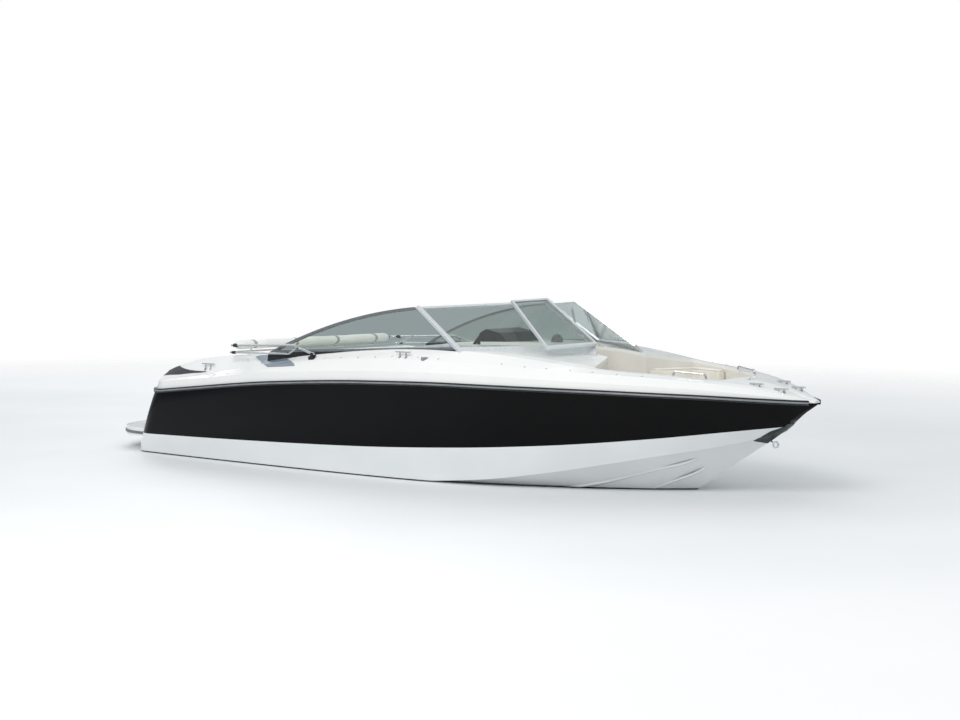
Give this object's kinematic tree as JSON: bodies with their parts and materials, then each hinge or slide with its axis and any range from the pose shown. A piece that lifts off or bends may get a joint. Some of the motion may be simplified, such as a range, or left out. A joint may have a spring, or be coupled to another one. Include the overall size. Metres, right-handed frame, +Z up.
{
  "type": "open-bow sterndrive speedboat",
  "caption": "Open-bow runabout with a wraparound windshield and its centre door, a stern drive that steers and tilts, opening lids, swivel seats and a stowed bimini.",
  "frame": {"origin": "on the centreline, at the transom, on the waterline", "axes": "+X to the bow, +Y to port, +Z up"},
  "size_m": [7.8938, 2.596, 2.4016],
  "materials": {
    "gelcoat_black": "gloss",
    "gelcoat_white": "gloss",
    "gelcoat_grey_blue": "gloss",
    "liner_cream": "satin",
    "vinyl_cream": "satin",
    "canvas_white": "matte",
    "stainless": "polished",
    "aluminium_frame": "satin",
    "tinted_glass": "gloss",
    "rail_vinyl": "satin",
    "drive_black": "satin",
    "black_plastic": "matte",
    "engine_iron": "matte",
    "trim_grey": "satin"
  },
  "bodies": {
    "hull": {"hull_bottom": "gelcoat_white", "spray_strakes": "gelcoat_white", "hull_topsides": "gelcoat_black", "deck": "gelcoat_white", "cockpit_liner": "liner_cream", "bow_liner": "liner_cream", "rub_rail": "rail_vinyl", "accent_panels": "gelcoat_grey_blue", "engine_vents": "black_plastic", "stem_guard": "stainless", "bow_eye": "stainless", "cleats": "stainless", "grab_rails": "stainless", "stern_eyes": "stainless", "fuel_cap": "stainless", "compass": "black_plastic", "walkway_brace": "stainless", "windshield_frame": "aluminium_frame", "windshield_glass": "tinted_glass", "lid_hinges": "stainless", "fore_pad": "vinyl_cream", "seat_pedestals": "aluminium_frame", "rear_bench": "liner_cream", "rear_cushions": "vinyl_cream", "bow_cushions": "vinyl_cream", "bow_backrests": "vinyl_cream", "helm_dash": "black_plastic", "passenger_dash": "gelcoat_white", "throttle_control": "black_plastic", "engine": "engine_iron", "swim_platform": "gelcoat_white", "platform_trim": "trim_grey", "boarding_ladder": "stainless", "transom_housing": "drive_black", "bimini_mounts": "stainless"},
    "windshield_door": {"windshield_door": "aluminium_frame", "windshield_door_glass": "tinted_glass"},
    "steering_wheel_body": {"steering_wheel": "black_plastic"},
    "gimbal": {"gimbal_ring": "drive_black"},
    "drive_unit": {"outdrive": "drive_black"},
    "prop": {"propeller": "stainless"},
    "trim_barrel_pair": {"trim_barrels": "drive_black"},
    "trim_rod_pair": {"trim_rods": "stainless"},
    "engine_hatch_lid": {"engine_hatch": "gelcoat_white", "sun_pad": "vinyl_cream"},
    "anchor_locker_lid": {"anchor_lid": "gelcoat_white"},
    "ski_lid": {"ski_locker_lid": "liner_cream"},
    "glovebox_door": {"glovebox_lid": "gelcoat_white"},
    "helm_chair": {"helm_seat": "vinyl_cream"},
    "passenger_chair": {"passenger_seat": "vinyl_cream"},
    "bimini_main": {"bimini_main_bow": "stainless", "bimini_canvas": "canvas_white"},
    "bimini_second": {"bimini_second_bow": "stainless"},
    "bimini_strut_pair": {"bimini_struts": "stainless"}
  },
  "joints": [
    {"name": "windshield_door_hinge", "type": "hinge", "parent": "hull", "child": "windshield_door", "pos_m": [4.84992, -0.2375, 1.37884], "axis": [-0.8477, 0.104, 0.5202], "range_deg": [0, 190]},
    {"name": "drive_steer", "type": "hinge", "parent": "hull", "child": "gimbal", "pos_m": [-0.215, 0, 0], "axis": [0, 0, 1], "range_deg": [-28, 28]},
    {"name": "steering_wheel_turn", "type": "hinge", "parent": "hull", "child": "steering_wheel_body", "pos_m": [3.17, 0.56, 1.085], "axis": [-0.8829, 0, 0.4695], "range_deg": [-540, 540]},
    {"name": "drive_tilt", "type": "hinge", "parent": "gimbal", "child": "drive_unit", "pos_m": [-0.215, 0, -0.06], "axis": [0, 1, 0], "range_deg": [-5, 45]},
    {"name": "prop_spin", "type": "hinge", "parent": "drive_unit", "child": "prop", "pos_m": [-0.69, 0, -0.6], "axis": [1, 0, 0], "continuous": true},
    {"name": "trim_barrel_swing", "type": "hinge", "parent": "gimbal", "child": "trim_barrel_pair", "pos_m": [-0.238, 0, -0.225], "axis": [0, 1, 0], "range_deg": [-6, 42]},
    {"name": "trim_rod_slide", "type": "slide", "parent": "trim_barrel_pair", "child": "trim_rod_pair", "axis": [-0.9937, 0, 0.1119], "range_m": [-0.02, 0.13]},
    {"name": "engine_hatch_hinge", "type": "hinge", "parent": "hull", "child": "engine_hatch_lid", "pos_m": [0.4157, 0, 0.80182], "axis": [0, -1, 0], "range_deg": [0, 70]},
    {"name": "anchor_lid_hinge", "type": "hinge", "parent": "hull", "child": "anchor_locker_lid", "pos_m": [6.537, 0, 0.96086], "axis": [0, -1, 0], "range_deg": [0, 80]},
    {"name": "ski_lid_hinge", "type": "hinge", "parent": "hull", "child": "ski_lid", "pos_m": [2.502, 0, 0.2045], "axis": [0, -1, 0], "range_deg": [0, 85]},
    {"name": "glovebox_hinge", "type": "hinge", "parent": "hull", "child": "glovebox_door", "pos_m": [3.2852, -0.56, 0.817], "axis": [0, -1, 0], "range_deg": [0, 80]},
    {"name": "helm_seat_swivel", "type": "hinge", "parent": "hull", "child": "helm_chair", "pos_m": [2.72, 0.56, 0.45], "axis": [0, 0, 1], "continuous": true},
    {"name": "passenger_seat_swivel", "type": "hinge", "parent": "hull", "child": "passenger_chair", "pos_m": [2.72, -0.56, 0.45], "axis": [0, 0, 1], "continuous": true},
    {"name": "bimini_raise", "type": "hinge", "parent": "hull", "child": "bimini_main", "pos_m": [2.55, 0, 1.06], "axis": [0, 1, 0], "range_deg": [0, 85]},
    {"name": "bimini_second_fold", "type": "hinge", "parent": "bimini_main", "child": "bimini_second", "pos_m": [2.36, 0, 1.11], "axis": [0, -1, 0], "range_deg": [0, 50]},
    {"name": "bimini_strut_fold", "type": "hinge", "parent": "bimini_main", "child": "bimini_strut_pair", "pos_m": [1.726, 0, 1.113], "axis": [0, 1, 0], "range_deg": [0, 25]}
  ],
  "couplings": [
    {"joint": "steering_wheel_turn", "follows": "drive_steer", "ratio": -19.286},
    {"joint": "trim_barrel_swing", "follows": "drive_tilt", "ratio": 0.852},
    {"joint": "trim_rod_slide", "follows": "drive_tilt", "m_per_rad": 0.1585},
    {"joint": "bimini_second_fold", "follows": "bimini_raise", "ratio": 0.58823}
  ]
}
